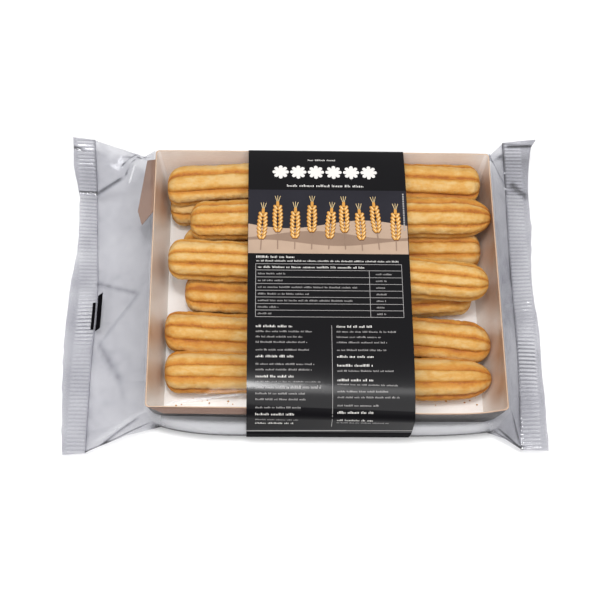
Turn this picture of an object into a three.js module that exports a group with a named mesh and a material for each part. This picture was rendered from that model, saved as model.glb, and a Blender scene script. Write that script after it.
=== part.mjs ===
// A sealed flow-wrap pack of churros, as one closed bag with a printed band round its middle.
// A tube of clear film is drawn over a shallow board tray and crimped flat at its left and right
// ends. Millimetres, +Z up, +X to the right end, -Y to the front. The bag is first laid out round
// the middle of the tray's underside and then moved so that its own box is centred on the origin.
import * as THREE from "three";

// The tray inside the bag: its rim carries the film, and its floor is shorter by the walls' flare.
const rimLength = 191;
const rimWidth = 155;
const rimHeight = 36.5;
const floorLength = 177;

// The film stands a little off the tray, and the top layer of churros pushes it up above the rim.
const filmOffRim = 0.6;
const domeRise = 5.2;
const domePower = 3;

// Front and back sides: the height of the side fold, and how far the fold and the foot belly out
// halfway along the tray. The belly dies away towards the tray's ends, later at the right one. The
// film bends tightly over the tray's rim and loosely at its folds and feet.
const sideFoldHeight = 17;
const frontBelly = { fold: 6.6, foot: 4.8 };
const backBelly = { fold: 3.6, foot: 2.0 };
const bellyEnds = { left: 96, right: 108 };
const footInset = 0.5;
const edgeRound = 5;
const rimRound = 1.4;

// The end seals. Each edge of a crimped band is a row of [y, x, z] from its front end to its back
// end; the band's ends stray a few millimetres, and its back corner stands up off the table.
// Between topCorners the band carries on the bag's top face; outside them it is folded-in side.
const leftSeal = {
  inner: [
    [-92.5, -129.5, 4], [-40, -129, 6], [0, -127.8, 7], [35, -129.5, 8], [64, -131, 10], [96, -133.5, 17],
  ],
  outer: [
    [-93.6, -141.7, 4], [-69, -143.3, 5], [-35, -144.6, 6], [0, -143.8, 7],
    [30, -140.4, 8.7], [60, -141, 10.8], [78, -144.8, 14], [97, -146, 18],
  ],
  topCorners: [-86, 64],
};
const rightSeal = {
  inner: [[-90.5, 107, 6], [-41, 107.4, 14], [-5, 107, 16], [25, 106.7, 18], [57, 107, 20], [94, 107.5, 22]],
  outer: [
    [-91.5, 121.5, 8], [-47, 120.8, 14], [-24, 120.4, 16], [-5, 118.2, 18], [10, 118.3, 18],
    [40, 120.6, 18.5], [67, 120.7, 20], [90, 124, 22], [96.5, 127.5, 22],
  ],
  topCorners: [-86, 60],
};
const sealThickness = 1.2;
const sealEdgeRound = 0.4;

// The printed band: a glossy label that hugs the bag from the back foot, over the top, to the
// front foot.
const labelWidth = 88.6;
const labelCentre = 1.6;
const labelThickness = 0.5;
const labelGap = 0.35;
const labelFootHeight = 1.6;

// Facets: steps round a corner and along each straight run of a section, and rings along the bag.
const cornerSteps = 4;
const sideSteps = 2;
const acrossSteps = 20;
const bodyRings = 16;
const gableRings = 5;
const bandRings = 2;

const filmFinish = { color: 0xb8b8be, roughness: 0.2, metalness: 0 };
const labelFinish = { color: 0x232126, roughness: 0.3, metalness: 0 };

const lerp = THREE.MathUtils.lerp;
const clamp = THREE.MathUtils.clamp;
const rimX = rimLength / 2;
const rimY = rimWidth / 2;
const floorX = floorLength / 2;

// A smooth curve through the rows [y, x, z], read at y: returns [x, z].
function alongEdge(rows, y) {
  const last = rows.length - 1;
  const at = (i) => rows[clamp(i, 0, last)];
  let i = 0;
  while (i < last - 1 && y > rows[i + 1][0]) i += 1;
  const span = rows[i + 1][0] - rows[i][0];
  const t = clamp((y - rows[i][0]) / span, 0, 1);
  const slope = (k, column) => {
    const [before, after] = [at(k - 1), at(k + 1)];
    return (after[column] - before[column]) / (after[0] - before[0]);
  };
  return [1, 2].map((column) => {
    const rise = rows[i + 1][column] - rows[i][column];
    const leave = slope(i, column) * span - rise;
    const arrive = rise - slope(i + 1, column) * span;
    const straight = lerp(rows[i][column], rows[i + 1][column], t);
    return straight + t * (1 - t) * (leave * (1 - t) + arrive * t);
  });
}

// A closed outline in the Y-Z plane from six corners, each rounded off, in the order front foot,
// front fold, front top, back top, back fold, back foot. Every outline has the same point count.
function roundedOutline(corners, rounds) {
  const steps = [sideSteps, sideSteps, acrossSteps, sideSteps, sideSteps, acrossSteps];
  const count = corners.length;
  const reach = (from, to, round) => {
    const length = from.distanceTo(to);
    return from.clone().lerp(to, Math.min(round, 0.45 * length) / length);
  };
  const outline = [];
  corners.forEach((corner, i) => {
    const before = corners[(i + count - 1) % count];
    const next = (i + 1) % count;
    const start = reach(corner, before, rounds[i]);
    const end = reach(corner, corners[next], rounds[i]);
    const arc = new THREE.QuadraticBezierCurve(start, corner, end);
    outline.push(...arc.getPoints(cornerSteps));
    const runEnd = reach(corners[next], corner, rounds[next]);
    for (let k = 1; k < steps[i]; k += 1) outline.push(end.clone().lerp(runEnd, k / steps[i]));
  });
  return outline;
}

// The bag's section over the tray, at a distance x from the tray's middle.
function bodyOutline(x) {
  const bellyEnd = x < 0 ? bellyEnds.left : bellyEnds.right;
  const belly = 1 - Math.abs(x / bellyEnd) ** 6;
  const filmY = rimY + filmOffRim;
  const filmZ = rimHeight + filmOffRim / 2;
  const corners = [
    new THREE.Vector2(-(rimY - footInset + frontBelly.foot * belly), 0),
    new THREE.Vector2(-(filmY + frontBelly.fold * belly), sideFoldHeight),
    new THREE.Vector2(-filmY, filmZ),
    new THREE.Vector2(filmY, filmZ),
    new THREE.Vector2(filmY + backBelly.fold * belly, sideFoldHeight),
    new THREE.Vector2(rimY - footInset + backBelly.foot * belly, 0),
  ];
  const rounds = [edgeRound, edgeRound, rimRound, rimRound, edgeRound, edgeRound];
  const outline = roundedOutline(corners, rounds);
  const lift = domeRise * Math.max(0, 1 - Math.abs(x / rimX) ** 5);
  for (const point of outline) {
    const acrossRim = clamp(Math.abs(point.x) / filmY, 0, 1);
    if (point.y > rimHeight - 2) point.y += lift * (1 - acrossRim ** domePower);
  }
  return outline;
}

// One ring over the tray. share runs from -1 at the left end to 1 at the right end, and the end
// rings lean with the tray's flared walls.
function bodyRing(share) {
  return bodyOutline(share * rimX).map(({ x: y, y: z }) => {
    const halfLength = lerp(floorX, rimX + filmOffRim, clamp(z / rimHeight, 0, 1));
    return new THREE.Vector3(share * halfLength, y, z);
  });
}

// One ring of a crimped band: the whole tube pressed flat, with its fold lines at front and back.
function sealRing(seal, edge) {
  const rows = seal[edge];
  const [frontY, backY] = [rows[0][0], rows[rows.length - 1][0]];
  const [frontTop, backTop] = seal.topCorners;
  const corners = [
    new THREE.Vector2(frontTop, -1),
    new THREE.Vector2(frontY, 0),
    new THREE.Vector2(frontTop, 1),
    new THREE.Vector2(backTop, 1),
    new THREE.Vector2(backY, 0),
    new THREE.Vector2(backTop, -1),
  ];
  const rounds = [edgeRound, sealEdgeRound, edgeRound, edgeRound, sealEdgeRound, edgeRound];
  return roundedOutline(corners, rounds).map(({ x: y, y: side }) => {
    const [x, z] = alongEdge(rows, y);
    const inFromFold = clamp(Math.min(y - frontY, backY - y) / (2 * sealEdgeRound), 0, 1);
    return new THREE.Vector3(x, y, z + (Math.sign(side) * Math.sqrt(inFromFold) * sealThickness) / 2);
  });
}

// Rings in equal steps from one ring to another. The film between them is drawn straight.
function ringsBetween(from, to, steps) {
  const blend = (t) => from.map((point, i) => point.clone().lerp(to[i], t));
  return Array.from({ length: steps + 1 }, (_, k) => blend(k / steps));
}

// All the rings of the bag, from its left edge to its right edge.
function bagRings() {
  const body = Array.from({ length: bodyRings + 1 }, (_, i) => {
    const even = (2 * i) / bodyRings - 1;
    return bodyRing(lerp(even, Math.sin((even * Math.PI) / 2), 0.35));
  });
  const [leftOuter, leftInner] = [sealRing(leftSeal, "outer"), sealRing(leftSeal, "inner")];
  const [rightInner, rightOuter] = [sealRing(rightSeal, "inner"), sealRing(rightSeal, "outer")];
  return [
    ...ringsBetween(leftOuter, leftInner, bandRings),
    ...ringsBetween(leftInner, body[0], gableRings).slice(1, -1),
    ...body,
    ...ringsBetween(body[bodyRings], rightInner, gableRings).slice(1, -1),
    ...ringsBetween(rightInner, rightOuter, bandRings),
  ];
}

// Skins the rings and closes the two cut edges, each with a strip from its front fold to its back.
function loft(rings) {
  const around = rings[0].length;
  const frontFold = cornerSteps + sideSteps + cornerSteps / 2;
  const index = [];
  for (let i = 0; i + 1 < rings.length; i += 1) {
    for (let j = 0; j < around; j += 1) {
      const [a, b] = [i * around + j, i * around + ((j + 1) % around)];
      index.push(a, a + around, b, b, a + around, b + around);
    }
  }
  const close = (ringNumber, facesRight) => {
    const at = (step) => ringNumber * around + ((frontFold + step + around) % around);
    for (let k = 0; k < around / 2; k += 1) {
      const triangles = [[at(k), at(k + 1), at(-k - 1)], [at(k), at(-k - 1), at(-k)]];
      for (const [a, b, c] of triangles) {
        const repeats = a === b || b === c || c === a;
        if (!repeats) index.push(...(facesRight ? [a, c, b] : [a, b, c]));
      }
    }
  };
  close(0, false);
  close(rings.length - 1, true);
  const geometry = new THREE.BufferGeometry().setFromPoints(rings.flat());
  geometry.setIndex(index);
  return geometry;
}

// The label's section is a strip that keeps a small gap to the bag, drawn out over its width.
function labelGeometry() {
  const path = bodyOutline(0).filter((point) => point.y > labelFootHeight);
  const offset = (distance) => path.map((point, i) => {
    const before = path[Math.max(i - 1, 0)];
    const after = path[Math.min(i + 1, path.length - 1)];
    const along = after.clone().sub(before).normalize();
    return new THREE.Vector2(point.x - along.y * distance, point.y + along.x * distance);
  });
  const strip = new THREE.Shape([...offset(labelGap), ...offset(labelGap + labelThickness).reverse()]);
  const geometry = new THREE.ExtrudeGeometry(strip, { depth: labelWidth, bevelEnabled: false });
  const [alongX, alongY, alongZ] = [0, 1, 2].map((i) => new THREE.Vector3().setComponent(i, 1));
  geometry.applyMatrix4(new THREE.Matrix4().makeBasis(alongY, alongZ, alongX));
  return geometry.translate(labelCentre - labelWidth / 2, 0, 0);
}

function namedMesh(name, geometry, finish) {
  const mesh = new THREE.Mesh(geometry, new THREE.MeshStandardMaterial(finish));
  mesh.name = name;
  return mesh;
}

const pack = new THREE.Group();
const filmBag = namedMesh("film_bag", loft(bagRings()), filmFinish);
const label = namedMesh("label", labelGeometry(), labelFinish);
pack.add(filmBag, label);

// The origin goes under the middle of the bag and label together, at the table.
const box = new THREE.Box3().setFromObject(pack);
const middle = box.getCenter(new THREE.Vector3());
pack.position.set(-middle.x, -middle.y, -box.min.z);

export default pack;
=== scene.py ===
import math

import bpy
import numpy as np
from mathutils import Matrix, Vector


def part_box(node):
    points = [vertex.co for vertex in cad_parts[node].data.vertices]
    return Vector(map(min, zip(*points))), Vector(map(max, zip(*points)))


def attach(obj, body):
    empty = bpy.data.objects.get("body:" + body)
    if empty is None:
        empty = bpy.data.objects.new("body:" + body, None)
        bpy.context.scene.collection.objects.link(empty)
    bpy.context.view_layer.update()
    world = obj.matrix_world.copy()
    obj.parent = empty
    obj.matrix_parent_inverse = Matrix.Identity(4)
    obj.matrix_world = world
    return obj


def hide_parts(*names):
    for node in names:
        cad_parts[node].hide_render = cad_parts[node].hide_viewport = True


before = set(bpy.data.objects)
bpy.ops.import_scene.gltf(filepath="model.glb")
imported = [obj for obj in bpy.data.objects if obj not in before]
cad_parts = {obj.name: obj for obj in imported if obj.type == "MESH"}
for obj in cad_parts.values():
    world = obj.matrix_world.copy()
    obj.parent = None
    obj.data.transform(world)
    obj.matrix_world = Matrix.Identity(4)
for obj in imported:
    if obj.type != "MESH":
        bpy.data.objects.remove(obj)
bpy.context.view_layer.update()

mm = 0.001

# Everything is laid out in millimetres round the middle of the tray's underside, +X to the right
# end seal, -Y to the front, and goes into the frame by toFrame.

tray = {
    "rimLength": 191.0,
    "rimWidth": 155.0,
    "rimHeight": 36.5,
    "floorLength": 177.0,
    "floorWidth": 131.0,
    "board": 0.5,
    "lip": 0.2,  # the cut edge rolls out a little
    "lift": 0.35,  # the floor lies this far up, on the film
    "cornerRound": 1.8,
    "cornerPoints": 7,
    "sidePoints": 40,
    "frontFootOut": (4.2, 7.0),  # the front wall stands steeper than the others, most at its right end
    "rimBulge": (3.1, 62.0, 30.0),  # how far the front rim swings out, where, and half how wide
    "bulgeDown": 0.5,  # it fades over this share of the wall
    "frontReach": 14.0,  # how far behind the front wall its own bends fade out
    "earOut": 5.0,  # the folded corners stand out at the foot of the front wall
    "earStart": 70.0,
    "wallBow": (0.7, 1.3),  # the front and back walls belly outwards between the corners
    "bowRise": (0.8, 0.93),  # how much of a half wave that is, up to the rim
    "bowEnds": (2, 10),  # how late it fades towards the corners
    "endBow": 3.6,  # the churros press the right end wall out at half its height
    "paintedReflectionShade": (0.95, 0.95),  # painted reflection of the churros, on the left and the right end wall
    "reflectionReach": (9.0, 17.0),  # along the wall, to both sides of a tip
    "backShade": 0.25,  # painted shade all over the back wall
}

film = {
    "offRim": 0.6,
    "offFrontRim": 0.5,  # on top of that, along the front
    "domeRise": 5.2,
    "domePower": 3,
    "domeEnds": 5,
    "sideFold": 17.0,
    "frontBelly": (6.6, 4.8),  # at the side fold, at the foot
    "backBelly": (3.6, 2.0),
    "bellyEnds": (96.0, 108.0),
    "bellyPower": 6,
    "footInset": 0.5,
    "edgeRound": 5.0,
    "rimRound": 1.4,
    "sealRound": 0.4,
    "sealHalf": 0.12,
    "sealTaper": 0.8,  # the band thins to nothing this close to its folds
    "sealHaze": 0.08,
    "endHaze": 0.05,
    "sideHaze": 0.6,
}

# Each edge of a crimped band is a row of [y, x, z], from its front end to its back end. The curl
# bends a stretch of the band down towards its cut edge: where along Y, its reach and its drop.
leftSeal = {
    "inner": [[-92.5, -129.5, 4], [-40, -129, 6], [0, -127.8, 7], [35, -129.5, 8], [64, -131, 10],
              [96, -133.5, 17]],
    "outer": [[-93.6, -141.7, 4], [-69, -143.3, 5], [-35, -144.6, 6], [0, -143.8, 7],
              [30, -140.4, 8.7], [60, -141, 10.8], [78, -144.8, 14], [97, -146, 18]],
    "topCorners": (-86, 64),
    "curl": (-16, 15, 2.0),
    "crimpDepth": (0.05, 0.13),  # everywhere, and more within the curl's reach
    "foldLine": 0.12,  # painted shade along the fold at the inner edge
    "slackAndShade": 0.45,
    "shine": 0.5,  # painted highlight on the ridges where the curl bends them
}
rightSeal = {
    "inner": [[-90.5, 107, 6], [-41, 107.4, 14], [-5, 107, 16], [25, 106.7, 18], [57, 107, 20],
              [94, 107.5, 22]],
    "outer": [[-91.5, 121.5, 8], [-47, 120.8, 14], [-24, 120.4, 16], [-5, 118.2, 18], [10, 118.3, 18],
              [40, 120.6, 18.5], [67, 120.7, 20], [90, 124, 22], [96.5, 127.5, 22]],
    "topCorners": (-86, 60),
    "curl": (-42, 20, 2.4),
    "crimpDepth": (0.06, 0.12),
    "foldLine": 0.2,
    "slackAndShade": 0.5,
    "shine": 0.6,
}

band = {
    "width": 88.6,
    "centre": 1.6,
    "gap": 0.2,
    "thickness": 0.3,
    "footHeight": 1.6,
    "sections": 29,
    "domePower": 5,
    "shoulders": ((1.9, 1.4), (5.3, 1.5)),  # off the front rim in Y and Z, at the left and right edges
    "rimBend": (6.0, 15.0),  # the length of the bend down the front and over the top
    "frontHeight": 37.0,  # below this the varnish has rubbed dull on shelves and in boxes
    "foldHeight": 18.4,
    "middleLength": 115.6,  # v at the middle of the top
}

labelLow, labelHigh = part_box("label")
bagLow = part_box("film_bag")[0]
trayCentre = np.array([
    (labelLow.x + labelHigh.x) / 2 / mm - band["centre"],
    bagLow.y / mm - leftSeal["outer"][0][0],
    0.0,
])


def toFrame(points):
    return (np.asarray(points, float) + trayCentre) * mm


def lerp(a, b, t):
    return a + (b - a) * t


def smoothStep(low, high, value):
    t = np.clip((value - low) / (high - low), 0, 1)
    return t * t * (3 - 2 * t)


# 1 at the middle, falling off like a bell
def bell(distance, reach):
    return np.exp(-(distance / reach) ** 2)


# Smooth random values from -1 to 1 at points, with bumps of one size in mm. Large primes scatter
# the bits of each cell's number.
def valueNoise(points, size, seed):
    scaled = np.asarray(points, float) / size + 1000.0
    cell = np.floor(scaled).astype(np.int64)
    inside = scaled - cell
    inside = inside * inside * (3 - 2 * inside)
    total = np.zeros(scaled.shape[:-1])
    for corner in np.ndindex(2, 2, 2):
        i, j, k = np.moveaxis(cell + np.array(corner), -1, 0)
        mixed = i * 73856093 ^ j * 19349663 ^ k * 83492791 ^ seed * 668265263
        mixed = (mixed ^ mixed >> 13) * 1274126177
        value = ((mixed ^ mixed >> 16) & 0xFFFF) / 32767.5 - 1
        total += value * np.prod(np.where(corner, inside, 1 - inside), axis=-1)
    return total


# Quads of a grid of points, numbered row by row
def gridFaces(rows, columns, closed=False, start=0):
    across = columns if closed else columns - 1
    row, column = np.meshgrid(np.arange(rows - 1), np.arange(across), indexing="ij")
    after = (column + 1) % columns
    corners = [row * columns + column, row * columns + after,
               (row + 1) * columns + after, (row + 1) * columns + column]
    return (np.stack(corners, -1).reshape(-1, 4) + start).tolist()


# The faces that close both ends of a tube of rings
def endFaces(rings, around):
    return [tuple(range(around))[::-1], tuple(range((rings - 1) * around, rings * around))]


def makePiece(name, points, faces, materials, faceSlots=None, marks=None, sharp=None):
    mesh = bpy.data.meshes.new(name)
    mesh.from_pydata(toFrame(np.asarray(points, float).reshape(-1, 3)).tolist(), [], faces)
    for material in materials:
        mesh.materials.append(material)
    mesh.polygons.foreach_set("use_smooth", [True] * len(mesh.polygons))
    if faceSlots is not None:
        mesh.polygons.foreach_set("material_index", list(faceSlots))
    for mark, values in (marks or {}).items():
        attribute = mesh.attributes.new(mark, "FLOAT", "POINT")
        attribute.data.foreach_set("value", np.asarray(values, np.float32).ravel())
    mesh.update()
    if sharp:
        mesh.set_sharp_from_angle(angle=math.radians(sharp))
    piece = bpy.data.objects.new(name, mesh)
    bpy.context.scene.collection.objects.link(piece)
    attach(piece, "root")
    return piece


def toLinear(hexCode):
    channels = [int(hexCode[i:i + 2], 16) / 255 for i in (1, 3, 5)]
    linear = [c / 12.92 if c <= 0.04045 else ((c + 0.055) / 1.055) ** 2.4 for c in channels]
    return (*linear, 1.0)


# Adds one node: socket values by name or number, links as {socket: output}, and its own settings
def addNode(tree, kind, values=None, links=None, **settings):
    node = tree.nodes.new("ShaderNode" + kind)
    for name, value in settings.items():
        setattr(node, name, value)
    for socket, value in (values or {}).items():
        node.inputs[socket].default_value = value
    for socket, output in (links or {}).items():
        tree.links.new(output, node.inputs[socket])
    return node


def newMaterial(name):
    material = bpy.data.materials.new(name)
    material.use_nodes = True
    material.node_tree.nodes.clear()
    return material, material.node_tree


def finishMaterial(material, surface):
    addNode(material.node_tree, "OutputMaterial", links={0: surface.outputs[0]})
    return material


def addMark(tree, mark):
    return addNode(tree, "Attribute", attribute_name=mark).outputs["Fac"]


def addMath(tree, operation, values, links, **settings):
    return addNode(tree, "Math", values, links, operation=operation, **settings).outputs[0]


# A noise with features of one size in mm, drawn out along an axis by a stretch below 1
def addNoise(tree, size, detail, roughness=0.5, stretch=None):
    place = addNode(tree, "TexCoord").outputs["Object"]
    if stretch:
        place = addNode(tree, "Mapping", {"Scale": stretch}, {"Vector": place}).outputs[0]
    values = {"Scale": 1 / (size * mm), "Detail": detail, "Roughness": roughness}
    return addNode(tree, "TexNoise", values, {"Vector": place}).outputs["Fac"]


def addBump(tree, height, strength, depth):
    values = {"Strength": strength, "Distance": depth * mm}
    return addNode(tree, "Bump", values, {"Height": height}).outputs[0]


def addRamp(tree, share, stops):
    node = addNode(tree, "ValToRGB", links={0: share})
    elements = node.color_ramp.elements
    while len(elements) < len(stops):
        elements.new(0.5)
    for element, (position, colour) in zip(elements, stops):
        element.position = position
        element.color = toLinear(colour)
    return node.outputs[0]


# Fried choux-like dough: pressed through a star nozzle, then deep fried. The crests stay pale and
# matt; the flanks go brown to orange and the grooves a reddish brown, partly crust colour, partly painted
# shade.
def friedDough():
    look = {
        # from the groove over the browned and painted-shade flank to the crest
        "tones": [(0.0, "#AE6A2C"), (0.2, "#C38132"), (0.52, "#CF9341"), (0.78, "#D8A75B"), (1.0, "#DEB879")],
        "mottle": 9.0,
        "streak": 1.8,
        "streakDraw": (0.35, 1.0, 1.0),
        "streakShare": 0.9,
        "blister": 1.1,
        "blisterStrength": 0.6,
        "grain": 0.8,
        "roughness": (0.5, 0.74),
    }
    material, tree = newMaterial("fried_dough_crust")
    mottle = addNoise(tree, look["mottle"], 5.0, 0.65)
    streak = addNoise(tree, look["streak"], 4.0, 0.7, look["streakDraw"])
    patches = addMath(tree, "ADD", {1: -0.5}, {0: mottle})
    shifted = addMath(tree, "MULTIPLY_ADD", {1: 1.0}, {0: patches, 2: addMark(tree, "crest")})
    fine = addMath(tree, "ADD", {1: -0.5}, {0: streak})
    browned = addMath(tree, "MULTIPLY_ADD", {1: look["streakShare"]}, {0: fine, 2: shifted}, use_clamp=True)
    colour = addRamp(tree, browned, look["tones"])
    bump = addBump(tree, addNoise(tree, look["blister"], 5.0, 0.65), look["blisterStrength"], look["grain"])
    least, most = look["roughness"]
    dull = addNode(tree, "MapRange", {3: least, 4: most}, {0: mottle})
    surface = addNode(tree, "BsdfPrincipled", {"IOR": 1.45, "Specular IOR Level": 0.35},
                      {"Base Color": colour, "Normal": bump, "Roughness": dull.outputs[0]})
    return finishMaterial(material, surface)


# Folding boxboard, calendered: its clay coat looks smooth, white and a little warm, its liner a
# fibrous brown, and its back a speckled grey. Its colour goes towards a warm brown where a mark of painted
# reflection and shade says so.
def boxboard(name, base, fleck, roughness, fibre):
    look = {"paintedReflectionShade": "#B98C66", "fibreDraw": (0.25, 1.0, 1.0), "cloud": 32.0, "cloudShare": 0.6,
            "tooth": (0.25, 0.05)}
    material, tree = newMaterial(name)
    fibres = addNoise(tree, fibre, 4.0, 0.6, look["fibreDraw"])
    cloud = addNoise(tree, look["cloud"], 2.0)
    mixed = addMath(tree, "MULTIPLY_ADD", {1: look["cloudShare"]}, {0: cloud, 2: fibres})
    plain = addRamp(tree, mixed, [(0.5, fleck), (0.95, base)])
    # painted reflection and shade: the board goes towards a warm brown by its mark
    colour = addNode(tree, "Mix", {7: toLinear(look["paintedReflectionShade"])}, {0: addMark(tree, "paintedReflectionShade"), 6: plain},
                     data_type="RGBA")
    surface = addNode(tree, "BsdfPrincipled", {"Roughness": roughness, "IOR": 1.5},
                      {"Base Color": colour.outputs[2], "Normal": addBump(tree, fibres, *look["tooth"])})
    return finishMaterial(material, surface)


# Clear oriented polypropylene film, extruded and stretched, then heat sealed: nearly all light goes
# through the taut top, loose film at the ends and sides is greyer and a little milky, and every ridge
# catches a light. Painted shade darkens its pleats, creases and turned-under edges, and painted highlights
# whiten some folds.
def clearFilm():
    look = {
        # taut, loose, doubled, and the painted shade of pleats
        "tints": [(0.0, "#FAFAFA"), (0.4, "#EAEAEC"), (0.6, "#D5D5D9"), (1.0, "#4A4A50")],
        "milk": "#E4E4E8",
        "ripple": 7.0,
        "rippleBump": (0.3, 0.5),
        "mirrorRoughness": 0.12,
        "leastGloss": 0.005,
        "slackGloss": 0.032,
        "edgeGloss": 0.2,
        "edgePower": 5.0,
    }
    material, tree = newMaterial("clear_polypropylene_film")
    slackAndShade, hazeAndHighlight = addMark(tree, "slackAndShade"), addMark(tree, "hazeAndHighlight")
    bump = addBump(tree, addNoise(tree, look["ripple"], 2.0), *look["rippleBump"])
    through = addNode(tree, "BsdfTransparent", links={"Color": addRamp(tree, slackAndShade, look["tints"])})
    milky = addNode(tree, "BsdfDiffuse", {"Color": toLinear(look["milk"])})
    body = addNode(tree, "MixShader", links={0: hazeAndHighlight, 1: through.outputs[0], 2: milky.outputs[0]})
    mirror = addNode(tree, "BsdfGlossy", {"Roughness": look["mirrorRoughness"]}, {"Normal": bump})
    facing = addNode(tree, "LayerWeight", {"Blend": 0.5}, {"Normal": bump}).outputs["Facing"]
    grazing = addMath(tree, "POWER", {1: look["edgePower"]}, {0: facing})
    headOn = addMath(tree, "MULTIPLY_ADD", {1: look["slackGloss"], 2: look["leastGloss"]}, {0: slackAndShade})
    gloss = addNode(tree, "MapRange", {4: look["edgeGloss"]}, {0: grazing, 3: headOn})
    surface = addNode(tree, "MixShader",
                      links={0: gloss.outputs[0], 1: body.outputs[0], 2: mirror.outputs[0]})
    return finishMaterial(material, surface)


# Flexo print on polypropylene label film: an even ink film with a satin to glossy overprint varnish
def printInk(name, base, roughness=0.34, patchy=0.06, gloss=0.22):
    look = {"wear": 14.0, "swell": 18.0, "grain": 0.8, "grainShare": 0.03, "relief": (0.12, 0.6)}
    material, tree = newMaterial(name)
    wear = addNoise(tree, look["wear"], 4.0)
    tone = addNode(tree, "MapRange", {3: 1 - patchy, 4: 1 + patchy}, {0: wear})
    colour = addNode(tree, "HueSaturation", {"Color": toLinear(base)}, {"Value": tone.outputs[0]})
    swell, grain = addNoise(tree, look["swell"], 1.0), addNoise(tree, look["grain"], 3.0)
    height = addMath(tree, "MULTIPLY_ADD", {1: look["grainShare"]}, {0: grain, 2: swell})
    surface = addNode(tree, "BsdfPrincipled",
                      {"Roughness": roughness, "IOR": 1.49, "Specular IOR Level": gloss},
                      {"Base Color": colour.outputs[0], "Normal": addBump(tree, height, *look["relief"])})
    return finishMaterial(material, surface)


doughCrust = friedDough()
whiteBoard = boxboard("clay_coated_boxboard", "#FAF9F8", "#F5F3F1", 0.45, 0.8)
# The walls' board is a warmer, less bright copy of the floor's: painted shade and warm reflection on the
# walls.
wallBoardShaded = boxboard("clay_coated_boxboard_walls_shaded", "#F4EFEA", "#EAE3DC", 0.28, 0.8)
# The grey back is given darker than such board is: partly its own grey, partly painted shade on the outside
# of the walls below the rim.
greyBoard = boxboard("grey_back_boxboard", "#6C6867", "#5C5857", 0.8, 0.5)
kraftBoard = boxboard("kraft_liner_board", "#A78672", "#93735F", 0.75, 0.5)
# A darker copy of the kraft liner: painted shade on the front glue flap.
kraftShaded = boxboard("kraft_liner_board_shaded", "#8F7163", "#7D6152", 0.75, 0.5)
cutBoard = boxboard("cut_boxboard_edge", "#D6BDA6", "#C7AC94", 0.8, 0.5)
clearPolypropylene = clearFilm()
blackInk = printInk("black_varnished_label_film", "#0D0C0F", 0.18, 0.12, 0.26)
rubbedInk = printInk("black_label_film_rubbed", "#0D0C0F", 0.3, 0.12, 0.08)
dullInk = printInk("black_label_film_turned_under", "#0D0C0F", 0.5, 0.12, 0.003)
inks = {
    "white": printInk("white_flexo_ink", "#E2DFDB"),
    "grey": printInk("light_grey_flexo_ink", "#A3A09F"),
    "beige": printInk("beige_flexo_ink", "#B39A86", patchy=0.15),
    "tan": printInk("tan_flexo_ink", "#8F7766", patchy=0.15),
    "slate": printInk("slate_flexo_ink", "#26252C", 0.3, 0.25),
    "gold": printInk("golden_flexo_ink", "#CB9247", patchy=0.12),
    "cream": printInk("cream_flexo_ink", "#E6CB98", patchy=0.1),
    "umber": printInk("umber_flexo_ink", "#5E3A20", patchy=0.12),
}
print("materials made")


view = {
    "elevation": 65.3,
    "azimuth": -4.6,
    "roll": 4.6,
    "distance": 750.0,
    "target": (-14.9, 3.4, 0.0),
    "lens": 79.3,
}


def addCamera():
    a, e, r = (math.radians(view[key]) for key in ("azimuth", "elevation", "roll"))
    back = Vector((math.sin(a) * math.cos(e), -math.cos(a) * math.cos(e), math.sin(e)))
    across = (-back).cross(Vector((0, 0, 1))).normalized()
    upward = across.cross(-back)
    right = across * math.cos(r) + upward * math.sin(r)
    up = upward * math.cos(r) - across * math.sin(r)
    data = bpy.data.cameras.new("camera")
    data.lens = view["lens"]
    data.sensor_width = 36
    data.clip_start, data.clip_end = 0.01, 20
    camera = bpy.data.objects.new("camera", data)
    place = Vector(toFrame(view["target"])) + back * view["distance"] * mm
    camera.matrix_world = Matrix.Translation(place) @ Matrix((right, up, back)).transposed().to_4x4()
    bpy.context.scene.collection.objects.link(camera)
    bpy.context.scene.camera = camera


studio = {
    "floor": "#FDFDFD",
    "floorHalf": 2.5,
    "floorLevel": -5e-5,
    "world": 0.5,
    # name: place in m, aimed at in m, width and depth in m, watts
    "lamps": {
        "frontSoftbox": ((-0.02, -0.6, 1.32), (0, 0, 0.02), (1.8, 1.1), 9.2),
        "leftSoftbox": ((-0.52, -0.12, 1.3), (0, 0, 0.02), (0.5, 0.5), 3.0),
        "rightSoftbox": ((0.52, -0.12, 1.3), (0, 0, 0.02), (0.5, 0.5), 2.6),
        "stripLight": ((-0.07, -0.095, 1.2), (-0.04, -0.065, 0.04), (0.2, 0.1), 4.0),
        "stripEnd": ((0.14, -0.22, 1.2), (0.02, -0.065, 0.04), (0.3, 0.1), 0.5),
    },
}


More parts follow.
